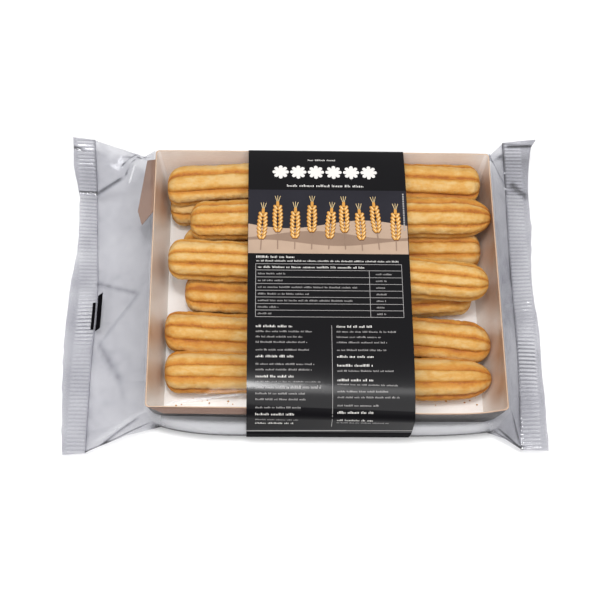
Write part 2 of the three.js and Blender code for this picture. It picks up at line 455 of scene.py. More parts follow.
def addStudio():
    half = studio["floorHalf"]
    corners = [(x * half, y * half, studio["floorLevel"]) for x, y in ((-1, -1), (1, -1), (1, 1), (-1, 1))]
    mesh = bpy.data.meshes.new("floor")
    mesh.from_pydata(corners, [], [(0, 1, 2, 3)])
    material, tree = newMaterial("matt_floor_paint")
    paint = {"Base Color": toLinear(studio["floor"]), "Roughness": 0.8, "Specular IOR Level": 0.2}
    mesh.materials.append(finishMaterial(material, addNode(tree, "BsdfPrincipled", paint)))
    floor = bpy.data.objects.new("floor", mesh)
    bpy.context.scene.collection.objects.link(floor)
    for name, (place, aim, size, watts) in studio["lamps"].items():
        data = bpy.data.lights.new(name, "AREA")
        data.shape = "RECTANGLE"
        data.size, data.size_y = size
        data.energy = watts
        lamp = bpy.data.objects.new(name, data)
        lamp.location = place
        lamp.rotation_mode = "QUATERNION"
        lamp.rotation_quaternion = (Vector(aim) - Vector(place)).to_track_quat("-Z", "Y")
        bpy.context.scene.collection.objects.link(lamp)
    world = bpy.data.worlds.new("studio")
    world.use_nodes = True
    background = world.node_tree.nodes["Background"]
    background.inputs["Color"].default_value = (1, 1, 1, 1)
    background.inputs["Strength"].default_value = studio["world"]
    bpy.context.scene.world = world
    bpy.context.scene.view_settings.view_transform = "Standard"


addCamera()
addStudio()
print("camera, floor and lights made")


# The bag's outline is worked out as the solid's is, with finer steps. It has six rounded corners,
# front foot, fold and top, then back top, fold and foot, with a run of steps after each.

rimX, rimY = tray["rimLength"] / 2, tray["rimWidth"] / 2
floorX, floorY = tray["floorLength"] / 2, tray["floorWidth"] / 2
cornerSteps, sideSteps, acrossSteps = 10, 14, 190
runSteps = [sideSteps, sideSteps, acrossSteps] * 2


# The number of the outline's first point in a corner's round
def cornerStart(corner):
    return corner * cornerSteps + sum(runSteps[:corner])


# A smooth curve through the rows [y, x, z], read at y: gives [x, z]
def alongEdge(rows, y):
    rows = np.asarray(rows, float)
    before = np.clip(np.arange(len(rows)) - 1, 0, None)
    after = np.clip(np.arange(len(rows)) + 1, None, len(rows) - 1)
    slopes = (rows[after, 1:] - rows[before, 1:]) / (rows[after, :1] - rows[before, :1])
    i = np.clip(np.searchsorted(rows[:, 0], y, side="right") - 1, 0, len(rows) - 2)
    span = rows[i + 1, 0] - rows[i, 0]
    t = np.clip((y - rows[i, 0]) / span, 0, 1)[..., None]
    rise = rows[i + 1, 1:] - rows[i, 1:]
    leave = slopes[i] * span[..., None] - rise
    arrive = rise - slopes[i + 1] * span[..., None]
    return lerp(rows[i, 1:], rows[i + 1, 1:], t) + t * (1 - t) * (leave * (1 - t) + arrive * t)


# A round is one reach, or a pair for the sides before and after the corner
def roundedOutline(corners, rounds):
    corners = np.asarray(corners, float)
    rounds = [amount if isinstance(amount, tuple) else (amount, amount) for amount in rounds]

    def reach(a, b, amount):
        length = np.linalg.norm(b - a)
        return a + (b - a) * min(amount, 0.45 * length) / length

    outline = []
    for i, corner in enumerate(corners):
        following = corners[(i + 1) % 6]
        start, end = reach(corner, corners[i - 1], rounds[i][0]), reach(corner, following, rounds[i][1])
        t = np.linspace(0, 1, cornerSteps + 1)[:, None]
        outline.append(start * (1 - t) ** 2 + corner * 2 * t * (1 - t) + end * t ** 2)
        runEnd = reach(following, corner, rounds[(i + 1) % 6][0])
        t = np.arange(1, runSteps[i])[:, None] / runSteps[i]
        outline.append(end + (runEnd - end) * t)
    return np.concatenate(outline)


def rimBulge(x):
    furthest, middle, half = tray["rimBulge"]
    return furthest * np.exp(-((x - middle) / half) ** 4)


# The bag's section at x. With a shoulder, its front top corner stands off and bends as the band does.
def bodyOutline(x, shoulder=None):
    belly = 1 - abs(x / film["bellyEnds"][int(x >= 0)]) ** film["bellyPower"]
    filmY, filmZ = rimY + film["offRim"], tray["rimHeight"] + film["offRim"] / 2
    footY = rimY - film["footInset"]
    (frontFold, frontFoot), (backFold, backFoot) = film["frontBelly"], film["backBelly"]
    edge, rim, fold = film["edgeRound"], film["rimRound"], film["sideFold"]
    frontTop, bend, power = (-filmY - film["offFrontRim"] - rimBulge(x), filmZ), rim, film["domePower"]
    if shoulder is not None:
        frontTop = (-filmY - shoulder[0], filmZ + shoulder[1])
        bend, power = band["rimBend"], band["domePower"]
    outline = roundedOutline([
        (-(footY + frontFoot * belly), 0), (-(filmY + frontFold * belly), fold), frontTop,
        (filmY, filmZ), (filmY + backFold * belly, fold), (footY + backFoot * belly, 0),
    ], [edge, edge, bend, rim, edge, edge])
    lift = film["domeRise"] * max(0, 1 - abs(x / rimX) ** film["domeEnds"])
    acrossRim = np.clip(np.abs(outline[:, 0]) / filmY, 0, 1)
    outline[:, 1] += np.where(outline[:, 1] > tray["rimHeight"] - 2, lift * (1 - acrossRim ** power), 0)
    return outline


def bodyRing(share):
    y, z = bodyOutline(share * rimX).T
    halfLength = lerp(floorX, rimX + film["offRim"], np.clip(z / tray["rimHeight"], 0, 1))
    return np.stack([share * halfLength, y, z], -1)


def sealRing(seal, edge):
    rows = seal[edge]
    frontY, backY = rows[0][0], rows[-1][0]
    frontTop, backTop = seal["topCorners"]
    wide, tight = film["edgeRound"], film["sealRound"]
    corners = [(frontTop, -1), (frontY, 0), (frontTop, 1), (backTop, 1), (backY, 0), (backTop, -1)]
    y, side = roundedOutline(corners, [wide, tight, wide, wide, tight, wide]).T
    x, z = alongEdge(rows, y).T
    inFromFold = np.clip(np.minimum(y - frontY, backY - y) / film["sealTaper"], 0, 1)
    return np.stack([x, y, z + np.sign(side) * np.sqrt(inFromFold) * film["sealHalf"]], -1)


# Creases of the film: from and to in mm, height and half width of the ridge, and how much painted
# shade darkens it there, or below zero how bright a painted highlight whitens its fold. Most run from
# the tray's corners to the crimped ends.
creases = [
    ((-144.7, 90.6, 16.7), (-110.9, 81.7, 20.8), 0.6, 1.0, 0.50),
    ((-129.7, 63.2, 10.8), (-115.0, 67.5, 21.5), 0.9, 1.5, 0.60),
    ((-113.8, 68.3, 22.9), (-107.8, 78.3, 22.8), 0.5, 0.9, 0.65),
    ((-115.4, 76.2, 19.9), (-108.2, 84.0, 20.4), 0.5, 0.8, 0.65),
    ((-107.0, 80.9, 21.9), (-100.8, 73.4, 32.9), 0.4, 1.0, 0.55),
    ((-111.3, 63.0, 24.6), (-107.7, 73.3, 26.5), 0.45, 0.6, -0.6),
    ((-127.4, 6.4, 7.8), (-102.1, -10.0, 31.2), 0.7, 1.5, 0.34),
    ((-102.1, -10.0, 31.2), (-123.8, -31.1, 11.0), 0.6, 1.8, 0.24),
    ((-124.4, -31.9, 10.5), (-108.6, -60.0, 24.0), 0.8, 2.8, 0.30),
    ((-112.0, -54.0, 22.0), (-106.8, -72.0, 26.0), 0.5, 2.4, 0.12),
    ((-95.8, -77.4, 34.8), (-123.6, -87.9, 8.4), 0.9, 1.6, -0.2),
    ((-100.0, -81.0, 26.0), (-121.9, -89.4, 6.0), -0.5, 1.2, 0.50),
    ((-60.0, -84.0, 14.0), (-72.0, -83.0, 20.0), 0.9, 1.6, 0.20),
    ((-52.0, -84.5, 12.0), (-66.0, -84.5, 24.0), 0.7, 1.4, 0.15),
    ((-90.0, -80.0, 8.0), (-74.0, -83.5, 13.0), 0.8, 1.3, 0.50),
    ((60.0, -83.0, 30.0), (60.0, -84.5, 20.0), 0.6, 0.8, 0.0),
    ((96.7, -78.4, 32.5), (108.1, -89.6, 6.4), 0.7, 1.0, 0.50),
    ((83.5, -82.4, 14.5), (93.2, -82.0, 10.0), 0.7, 1.1, 0.45),
    ((93.2, -82.0, 10.0), (106.7, -90.2, 6.2), 0.6, 1.0, 0.55),
    ((98.0, 74.0, 36.0), (106.6, 66.0, 22.0), 0.8, 1.3, 0.30),
    ((100.0, 80.0, 30.0), (106.7, 84.5, 21.8), 0.6, 1.4, 0.55),
    ((110.3, 91.3, 22.0), (124.6, 91.7, 22.2), 0.3, 0.9, 0.40),
    ((110.3, 67.1, 20.6), (119.5, 57.5, 19.5), 0.5, 2.0, 0.26),
    ((-141.6, 63.6, 11.3), (-130.0, 63.8, 10.4), 0.5, 1.1, 0.40),
    ((-84.0, -75.6, 37.4), (-44.5, -71.2, 39.0), 0.35, 0.7, -0.45),
    ((105.5, 74.4, 22.2), (105.6, 73.2, 22.2), 0.3, 0.6, -0.9),
    ((106.3, 64.1, 21.5), (106.4, 62.9, 21.4), 0.3, 0.6, -0.9),
]

creaseForm = {
    "snap": 5.0,  # an end this close to the film is moved onto it
    "overrun": 0.12,  # it fades out past both ends, by this share of its length
    "fadeFrom": 0.8,
    "valley": (0.35, 2.2),  # a shallow dip beside the ridge: its depth and width as shares of it
}


def ontoFilm(end, points):
    away = np.linalg.norm(points - end, axis=-1)
    nearest = np.unravel_index(np.argmin(away), away.shape)
    return points[nearest] if away[nearest] < creaseForm["snap"] else np.array(end, float)


def creaseShape(points):
    over, (valley, valleyWidth) = creaseForm["overrun"], creaseForm["valley"]
    lift, darker = np.zeros(points.shape[:-1]), np.zeros(points.shape[:-1])
    for start, end, height, width, dark in creases:
        start, end = ontoFilm(start, points), ontoFilm(end, points)
        along = end - start
        t = np.clip(((points - start) @ along) / (along @ along), -over, 1 + over)
        away = np.linalg.norm(points - start - t[..., None] * along, axis=-1)
        fade = smoothStep(-over, over, t) * (1 - smoothStep(creaseForm["fadeFrom"], 1 + over, t))
        lift += height * fade * (bell(away, width) - valley * bell(away / width, valleyWidth))
        darker += dark * fade * bell(away, width)
    return lift, darker


def gridNormals(points, closed):
    along = np.gradient(points, axis=0)
    if closed:
        around = (np.roll(points, -1, axis=1) - np.roll(points, 1, axis=1)) / 2
    else:
        around = np.gradient(points, axis=1)
    normal = np.cross(along, around)
    return normal / np.maximum(np.linalg.norm(normal, axis=-1, keepdims=True), 1e-9)


# The wrap runs from one crimped band over the tray to the other. Its mark of greyness and shade is 0
# where the film is taut and 1 in a pleat, which is painted shade.
wrap = {
    "bodyRings": 66,
    "endRings": 44,
    "endCrowding": 0.35,  # how much closer the body's rings stand near its ends
    "slackAndShade": (0.36, 0.03, 0.0),  # at the ends, the sides and the top
    "crinkle": (0.35, 0.08),  # in mm, where it hangs loose and over the tray
    "crinkleMiddle": 0.45,
    "rightEndFolds": (0.07, 0.16),  # the steep right end is greyer, with painted shade in folds that run along it
    "foldReach": 1.3,
    "foldUneven": 0.7,
    "doubled": 0.1,  # the gussets at the back of both ends
    "gathered": (0.06, 0.12),  # painted shade of fine wrinkles at both ends: how dark, and how wide
    "mottled": (0.07, 0.06),
    "turnedUnder": (3.0, 7.0),  # painted shade where the film turns under at the front: the height of its middle and its reach
    "turnedLeast": 0.2,
    "turnedFoot": (0.3, 1.5),
    "turnedTop": (20.0, 13.0),
    "turnedFade": 8,  # in rings past the tray's ends
    # painted shade along the front fold, past the tray's ends
    "frontFold": 0.6,
    "hazeHeight": (28, 22),
    "hazeInward": (100, 76),  # from the ends
    "liftLimits": (-1.2, 1.6),
    "underLift": 0.15,
    "lowest": 0.02,
}


def filmRings():
    shares = np.linspace(-1, 1, wrap["bodyRings"] + 1)
    body = [bodyRing(lerp(s, math.sin(s * math.pi / 2), wrap["endCrowding"])) for s in shares]
    left, right = sealRing(leftSeal, "inner"), sealRing(rightSeal, "inner")
    steps = np.linspace(0, 1, wrap["endRings"] + 1)
    rings = [lerp(left, body[0], t) for t in steps[:-1]] + body
    rings += [lerp(body[-1], right, t) for t in steps[1:]]
    return np.array(rings)


# Greyer where the film hangs loose or lies doubled, with painted shade along the seals' folds, in folds of
# the right end, and in fine wrinkles
def filmSlackAndShade(points, overTray, tautTop, darker):
    ends, sides, top = wrap["slackAndShade"]
    slackAndShade = lerp(lerp(ends, sides, overTray), top, tautTop) + darker
    rightEnd = slice(wrap["endRings"] + wrap["bodyRings"] + 1, None)
    everywhere, inFolds = wrap["rightEndFolds"]
    drawn = valueNoise(points * (1.0, 0.12, 0.4), 4.5, 15)
    slackAndShade[rightEnd] += everywhere + inFolds * drawn[rightEnd]
    uneven = 1 + wrap["foldUneven"] * valueNoise(points, 9, 12)
    for seal, edge in ((leftSeal, points[:1]), (rightSeal, points[-1:])):
        fromSeal = np.linalg.norm(points - edge, axis=-1)
        slackAndShade += seal["foldLine"] * bell(fromSeal, wrap["foldReach"]) * uneven
    gussetStart = cornerStart(3) + cornerSteps // 2
    gusset = slice(gussetStart, gussetStart + cornerSteps + sideSteps)
    slackAndShade[:wrap["endRings"], gusset] += wrap["doubled"]
    slackAndShade[rightEnd, gusset] += wrap["doubled"]
    dark, wide = wrap["gathered"]
    gathered = 1 - smoothStep(0, wide, np.abs(valueNoise(points * (0.3, 1.0, 0.5), 11, 9)))
    coarse, fine = wrap["mottled"]
    mottled = coarse * valueNoise(points, 10, 8) + fine * valueNoise(points, 4, 10)
    return slackAndShade + (dark * gathered + mottled) * (1 - overTray)


def makeFilm():
    points = filmRings()
    row = np.arange(len(points))
    pastTray = wrap["endRings"] - np.minimum(row, len(points) - 1 - row)
    overTray = np.zeros(points.shape[:2])
    overTray[pastTray <= 0] = 1
    top = (points[..., 2] > tray["rimHeight"] - 1).astype(float)
    under = (points[..., 2] < 1.5).astype(float)
    held = np.ones(points.shape[:2])
    held[0] = held[-1] = 0
    held[1] = held[-2] = 0.4
    crinkle = np.abs(valueNoise(points * (0.6, 1.0, 1.0), 15, 3)) + 0.5 * np.abs(valueNoise(points, 7, 4))
    creaseLift, darker = creaseShape(points)
    loose = lerp(*wrap["crinkle"], top * overTray) * (1 - under)
    lift = creaseLift + (wrap["crinkleMiddle"] - crinkle) * loose
    slackAndShade = filmSlackAndShade(points, overTray, top * overTray, darker)

    # painted shade where the front turns under, between its foot and its fold, and along the fold past the
    # tray's ends
    nearTray = np.clip(1 - pastTray / wrap["turnedFade"], 0, 1)[:, None]
    front = points[:, :cornerStart(1) + cornerSteps + 2]
    middle, reach = wrap["turnedUnder"]
    turned = wrap["turnedLeast"] + (1 - wrap["turnedLeast"]) * bell(front[..., 2] - middle, reach)
    turned *= smoothStep(*wrap["turnedFoot"], front[..., 2]) * smoothStep(*wrap["turnedTop"], front[..., 2])
    turned *= nearTray
    fold = cornerStart(1) + cornerSteps // 2
    fromFold = np.linalg.norm(front - points[:, fold:fold + 1], axis=-1)
    slackAndShade[:, :front.shape[1]] += turned + wrap["frontFold"] * bell(fromFold, 1.0) * (1 - nearTray)

    low = smoothStep(*wrap["hazeHeight"], points[..., 2])
    inward = smoothStep(*wrap["hazeInward"], np.abs(points[..., 0]))
    hazeAndHighlight = lerp(film["endHaze"], film["sideHaze"] * low, inward) * (1 - top)
    hazeAndHighlight[:, :front.shape[1]] *= 1 - turned
    # creases with a value below zero get a painted highlight
    hazeAndHighlight = np.clip(hazeAndHighlight - np.minimum(darker, 0), 0, 1)
    lift = np.clip(lift, *wrap["liftLimits"]) * held * lerp(1, wrap["underLift"], under)
    points = points + gridNormals(points, True) * lift[..., None]
    points[..., 2] = np.maximum(points[..., 2], wrap["lowest"])
    faces = gridFaces(len(points), points.shape[1], closed=True)
    piece = makePiece("film_wrap", points, faces, [clearPolypropylene],
                      marks={"slackAndShade": np.clip(slackAndShade, 0, 1), "hazeAndHighlight": hazeAndHighlight})
    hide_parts("film_bag")
    return points


# A crimped end: two layers pressed together between ridged jaws, with a flat strip outside them
crimps = {
    "acrossCount": 760,
    "alongCount": 20,
    "pitch": 2.22,
    "width": 10.6,
    "start": (0.2, 0.9),
    "finish": 0.7,
    "overlap": 0.03,  # of its width, under the film it hangs on
    "cutEdge": (0.35, 5),  # how far the cut edge strays, and over what length
    "wobble": 0.21,
    "curlPower": 1.3,
    "backSlack": 0.1,
    "waveShade": (0.1, 0.4),  # painted shade on the crests, turned to a painted highlight where the curl bends them
    "foldReach": 0.8,
    "outerSlack": 0.05,
}


def makeSeal(name, seal):
    acrossCount, alongCount, crimpWidth = crimps["acrossCount"], crimps["alongCount"], crimps["width"]
    t = np.linspace(0, 1, acrossCount)
    edges = []
    for edge in ("inner", "outer"):
        rows = seal[edge]
        y = lerp(rows[0][0], rows[-1][0], t)
        x, z = alongEdge(rows, y).T
        edges.append(np.stack([x, y, z], -1))
    inner, outer = edges
    stray, strayLength = crimps["cutEdge"]
    outer[:, 0] += stray * valueNoise(outer, strayLength, 16)
    share = np.linspace(-crimps["overlap"], 1, alongCount)[:, None, None]
    middle = inner[None] + (outer - inner)[None] * share
    width = np.linalg.norm(outer - inner, axis=-1)[None] * share[..., 0]
    ridged = smoothStep(*crimps["start"], width)
    ridged = ridged * (1 - smoothStep(crimpWidth - crimps["finish"], crimpWidth, width))
    phase = 2 * math.pi * middle[..., 1] / crimps["pitch"] + 0.5 * valueNoise(middle, 30, 5)
    wave = np.cos(phase) * ridged * (0.75 + 0.25 * valueNoise(middle, 12, 6))
    wobble = crimps["wobble"] * valueNoise(middle, 22, 7) * smoothStep(3, 12, width)
    where, reach, drop = seal["curl"]
    curled = bell(middle[..., 1] - where, reach)
    curl = drop * curled * np.clip(share[..., 0], 0, 1) ** crimps["curlPower"]
    creaseLift, darker = creaseShape(middle)
    evenDepth, curlDepth = seal["crimpDepth"]
    middle[..., 2] += wave * (evenDepth + curlDepth * curled) + wobble - curl + creaseLift
    evenWave, curlWave = crimps["waveShade"]
    slackAndShade = seal["slackAndShade"] + crimps["backSlack"] * (middle[..., 1] > seal["topCorners"][1])
    # painted shade on the crimps' crests and in dark creases, a painted highlight on the crests in the curl,
    # and painted shade along the fold at the inner edge
    slackAndShade = slackAndShade + (evenWave - curlWave * curled) * wave + darker + 0.06 * valueNoise(middle, 8, 11)
    slackAndShade += seal["foldLine"] * bell(width, crimps["foldReach"])
    slackAndShade += crimps["outerSlack"] * smoothStep(crimpWidth - 0.6, crimpWidth + 0.6, width)
    # the seal's own milky film, with painted highlights on creases and on the crests where the curl bends
    # them
    hazeAndHighlight = film["sealHaze"] - np.minimum(darker, 0) + seal["shine"] * curled * np.clip(wave, 0, 1) ** 2
    upper, lower = middle.copy(), middle.copy()
    upper[..., 2] += film["sealHalf"]
    lower[..., 2] -= film["sealHalf"]
    loop = np.concatenate([upper, lower[:, ::-1]], axis=1)
    slackShadeLoop = np.clip(np.concatenate([slackAndShade, slackAndShade[:, ::-1]], axis=1), 0, 1)
    hazeHighlightLoop = np.clip(np.concatenate([hazeAndHighlight, np.full_like(hazeAndHighlight, film["sealHaze"])], axis=1), 0, 1)
    faces = gridFaces(alongCount, 2 * acrossCount, closed=True)
    last = (alongCount - 1) * 2 * acrossCount
    for k in range(acrossCount - 1):
        far = last + 2 * acrossCount - 1 - k
        faces.append((last + k, last + k + 1, far - 1, far))
    makePiece(name, loop, faces, [clearPolypropylene],
              marks={"slackAndShade": slackShadeLoop, "hazeAndHighlight": hazeHighlightLoop})
    return upper


# The black mark that the wrapping machine reads, printed across the left end's fold line
eyeMark = {
    "onFilm": (-23.5, -1.0),
    "filmWidth": 4.4,
    "widthAt": 200,  # the film's column along which that is measured
    "onSeal": (-21.4, -4.6),
    "sealRows": 3,
    "heights": (0.10, 0.03),  # of its face and its back over the film
}


def makeEyeMark(filmPoints, sealPoints):
    low, high = eyeMark["onFilm"]
    first = cornerStart(2) + cornerSteps - 3
    topRun = filmPoints[0, first:cornerStart(3) + 1, 1]
    columns = np.where((topRun > low) & (topRun < high))[0] + first
    column = filmPoints[:, eyeMark["widthAt"]]
    rows = int(np.searchsorted(np.linalg.norm(column - column[0], axis=-1), eyeMark["filmWidth"]))
    onFilm = filmPoints[1:rows + 1, columns[0]:columns[-1] + 1]
    low, high = eyeMark["onSeal"]
    sealY = sealPoints[0, :, 1]
    columns = np.where((sealY > low) & (sealY < high))[0]
    onSeal = sealPoints[1:eyeMark["sealRows"] + 1, columns[0]:columns[-1] + 1]
    points, faces = [], []
    for patch in (onFilm, onSeal):
        outward = gridNormals(patch, False)
        outward *= np.sign(outward[..., 2:].mean())
        count, across = patch.shape[:2]
        start = len(points)
        for height in eyeMark["heights"]:
            points.extend((patch + outward * height).reshape(-1, 3))
        below = start + count * across
        faces += gridFaces(count, across, start=start)
        faces += [face[::-1] for face in gridFaces(count, across, start=below)]
        rim = [(0, c) for c in range(across)] + [(r, across - 1) for r in range(1, count)]
        rim += [(count - 1, c) for c in range(across - 2, -1, -1)]
        rim += [(r, 0) for r in range(count - 2, 0, -1)]
        numbers = [r * across + c for r, c in rim]
        for a, b in zip(numbers, numbers[1:] + numbers[:1]):
            faces.append((start + a, below + a, below + b, start + b))
    makePiece("film_eye_mark", points, faces, [dullInk], sharp=40)


filmPoints = makeFilm()
leftPoints = makeSeal("film_seal_left", leftSeal)
makeSeal("film_seal_right", rightSeal)
makeEyeMark(filmPoints, leftPoints)
print("film made")


# Each churro: its line as (x, y) from tip to tip, the height of its middle at both ends, its radius,
# the angles of its grooves in degrees from straight up towards the front, how far its right end
# tapers, its twist over the length, and a seed
churros = {
    "churro_1": {"line": [(-88.8, 58.2), (-44.1, 62.2), (47.4, 62.8), (90.7, 62.2)], "z": (27.4, 27.2),
                 "radius": 11.1, "taper": 8, "twist": 16, "seed": 1,
                 "grooves": (-60, -9, 53, 100, 150, 215, 262)},
    "churro_2": {"line": [(-87.8, 54.6), (-44.1, 54.8), (40, 54.6), (88, 54.2)], "z": (12.2, 12.2),
                 "radius": 11.2, "taper": 12, "twist": -10, "seed": 2,
                 "grooves": (-38, 12, 58, 104, 158, 210, 268)},
    "churro_3": {"line": [(-75.2, 35.5), (-43.9, 37.1), (46.4, 39.7), (95.5, 40.1)], "z": (29.6, 28.4),
                 "radius": 11.4, "taper": 20, "twist": 12, "seed": 3,
                 "grooves": (-34, -3, 47, 84, 140, 200, 262)},
    "churro_4": {"line": [(-79.9, 28.9), (-43.8, 26.7), (47.7, 26.3), (91.1, 26.7)], "z": (12.2, 12.2),
                 "radius": 11.4, "taper": 8, "twist": -8, "seed": 4,
                 "grooves": (-52, -8, 38, 80, 136, 196, 250)},
    "churro_5": {"line": [(-86.9, 11.5), (-43.7, 10.3), (46.4, 1.9), (91.2, -1.4)], "z": (29.4, 29.5),
                 "radius": 11.4, "taper": 16, "twist": 14, "seed": 5,
                 "grooves": (-48, -4, 34, 82, 138, 192, 250)},
    "churro_6": {"line": [(-78.0, -0.7), (-43.6, -2.9), (48.7, -2.8), (84.7, -0.4)], "z": (12.0, 11.6),
                 "radius": 11.0, "taper": 8, "twist": -14, "seed": 6,
                 "grooves": (-44, 6, 52, 96, 150, 208, 264)},
    "churro_7": {"line": [(-88.6, -24.1), (-43.4, -26.8), (48.2, -27.7), (92.9, -31.9)], "z": (12.3, 12.8),
                 "radius": 11.7, "taper": 14, "twist": 10, "seed": 7,
                 "grooves": (-50, -2, 44, 92, 148, 204, 258)},
    "churro_8": {"line": [(-87.8, -48.5), (-43.2, -49.2), (47.1, -51.9), (92.2, -51.6)], "z": (12.2, 12.2),
                 "radius": 11.6, "taper": 22, "twist": -12, "seed": 8,
                 "grooves": (-56, -6, 36, 84, 140, 200, 254)},
}

crust = {
    "rings": 280,
    "around": 120,
    "tipCrowding": 0.6,  # how much closer the rings stand near the tips
    "leftBlunt": 9.0,
    "leftTip": (2.5, 0.42),  # the powers that round off a tip
    "rightTip": (2.3, 0.5),
    "flatten": (1.02, 0.95),  # in Y and Z
    "grooveDepth": 1.9,
    "depthSpread": (0.75, 1.15),
    "ridgeSpread": (2.3, 3.3),  # from rounder to squarer ridges
    "lean": 0.2,
    "slitDepth": 0.4,  # a narrow cleft at the bottom of each groove
    "tipDepth": 0.35,  # grooves run out towards the tips
    "scallopPitch": 2.1,  # dough that tore a little as it left the nozzle
    "scallopDepth": 0.45,
    "scallopShare": 0.4,  # of the ridges
    "bumps": ((0.35, 9), (0.28, 3.2), (0.2, 1.6)),  # height and size
    "backFlank": (0.3, 0.9),  # how far up each ridge is darkened, behind and in front: browning and painted shade
    "frontFlank": (0.4, 1.2),
    "crest": (0.16, 0.74),  # lowest tone, and the range above it
    "ridgeTone": (-0.12, 0.08),
    "toneNoise": 0.16,
}


def makeChurro(name, spec):
    lots = np.random.default_rng(100 + spec["seed"])
    line = np.array(spec["line"], float)
    path = np.polynomial.Polynomial.fit(line[:, 0], line[:, 1], 3)
    s = np.linspace(0, 1, crust["rings"])
    s = lerp(s, (1 - np.cos(math.pi * s)) / 2, crust["tipCrowding"])
    tipLeft, tipRight = line[0, 0], line[-1, 0]
    x = lerp(tipLeft, tipRight, s)
    centreZ = lerp(*spec["z"], s)
    ends = 1
    for inFromTip, (inner, outer) in (((x - tipLeft) / crust["leftBlunt"], crust["leftTip"]),
                                      ((tipRight - x) / spec["taper"], crust["rightTip"])):
        ends = ends * (1 - (1 - np.clip(inFromTip, 0, 1)) ** inner) ** outer
    tips = ends[:, None]
    phi = np.linspace(0, 2 * math.pi, crust["around"], endpoint=False)
    phase = lots.uniform(0, 6.3, 6)
    wander = 2.5 * np.sin(x / 40 + phase[0]) + 0.9 * np.sin(x / 16 + phase[1])
    turned = np.degrees(phi)[None] - (spec["twist"] * (s - 0.2) + wander)[:, None]

    # u runs over each ridge from -1 at its back groove to 1 at its front groove
    grooves = np.array(spec["grooves"], float)
    widths = np.diff(np.append(grooves, grooves[0] + 360))
    count = len(widths)
    inLap = (turned - grooves[0]) % 360
    starts = np.append(0, np.cumsum(widths))
    lobe = np.clip(np.searchsorted(starts, inLap, side="right") - 1, 0, count - 1)
    u = 2 * (inLap - starts[lobe]) / widths[lobe] - 1
    beside = np.abs(u)

    # a value for each ridge, drawn within limits
    def draw(low, high):
        return lots.uniform(low, high, count)[lobe]

    leaning = np.clip(u + draw(-crust["lean"], crust["lean"]) * (1 - u ** 2), -1, 1)
    depth = crust["grooveDepth"] * np.clip(widths[lobe] / 50, 0.7, 1.15) * draw(*crust["depthSpread"])
    depth = depth * np.abs(leaning) ** draw(*crust["ridgeSpread"])
    depth = depth + crust["slitDepth"] * smoothStep(0.82, 1.0, beside)
    depth = depth * (crust["tipDepth"] + (1 - crust["tipDepth"]) * tips)
    swell = 1 + 0.018 * np.sin(x / 24 + phase[2]) + 0.008 * np.sin(x / 9 + phase[3])
    radius = spec["radius"] * swell[:, None] - depth
    teeth = np.abs((x / crust["scallopPitch"] + phase[4]) % 1 - 0.5)[:, None] * 2
    ragged = (draw(0, 1) < crust["scallopShare"]) * smoothStep(0.4, 0.8, beside) * (beside < 0.97)
    patchy = smoothStep(-0.1, 0.5, np.sin(x / 11 + phase[5]))[:, None]
    radius -= crust["scallopDepth"] * teeth * ragged * patchy
    radius = radius * tips
    wide, high = crust["flatten"]
    points = np.stack([
        np.broadcast_to(x[:, None], radius.shape),
        path(x)[:, None] - radius * np.sin(phi) * wide,
        centreZ[:, None] + radius * np.cos(phi) * high,
    ], -1)
    outward = np.stack([np.zeros_like(phi), -np.sin(phi), np.cos(phi)], -1)[None]
    seed = 10 * spec["seed"]
    bumps = sum(height * valueNoise(points, size, seed + k)
                for k, (height, size) in enumerate(crust["bumps"]))
    points = points + outward * (bumps * np.clip(tips * 1.5, 0, 1))[..., None]

    # the darkened share of each ridge differs, and its front flank is darkened further up: the crust's
    # browning, with painted shade on the front flank
    behind = smoothStep(0, 1, (1 + u) / draw(*crust["backFlank"]))
    crest = np.minimum(behind, smoothStep(0, 1, (1 - u) / draw(*crust["frontFlank"])))
    lowest, above = crust["crest"]
    crest = lowest + above * crest * (0.75 + 0.25 * smoothStep(0.25, 1.0, ends))[:, None]
    # painted shade in the cleft at the bottom of each groove
    crest = crest - 0.16 * smoothStep(0.93, 1.0, beside) + draw(*crust["ridgeTone"])
    crest = np.clip(crest + crust["toneNoise"] * valueNoise(points, 16, seed + 3), 0, 1)
    faces = gridFaces(len(x), len(phi), closed=True) + endFaces(len(x), len(phi))
    makePiece(name, points, faces, [doughCrust], marks={"crest": crest})


for name, spec in churros.items():
    makeChurro(name, spec)
print("churros made")


# A rounded rectangle, from its front right corner on
def roundedRectangle(halfX, halfY, radius):
    arc = np.linspace(0, math.pi / 2, tray["cornerPoints"])
    inX, inY = halfX - radius, halfY - radius
    points = []
    sides = [(inX, -inY, -math.pi / 2), (inX, inY, 0), (-inX, inY, math.pi / 2), (-inX, -inY, math.pi)]
    for i, (cx, cy, start) in enumerate(sides):
        corner = np.stack([cx + radius * np.cos(arc + start), cy + radius * np.sin(arc + start)], -1)
        points.append(corner)
        nx, ny, nextStart = sides[(i + 1) % 4]
        goal = np.array([nx + radius * math.cos(nextStart), ny + radius * math.sin(nextStart)])
        t = np.linspace(0, 1, tray["sidePoints"] + 2)[1:-1, None]
        points.append(corner[-1] + (goal - corner[-1]) * t)
    return np.concatenate(points)


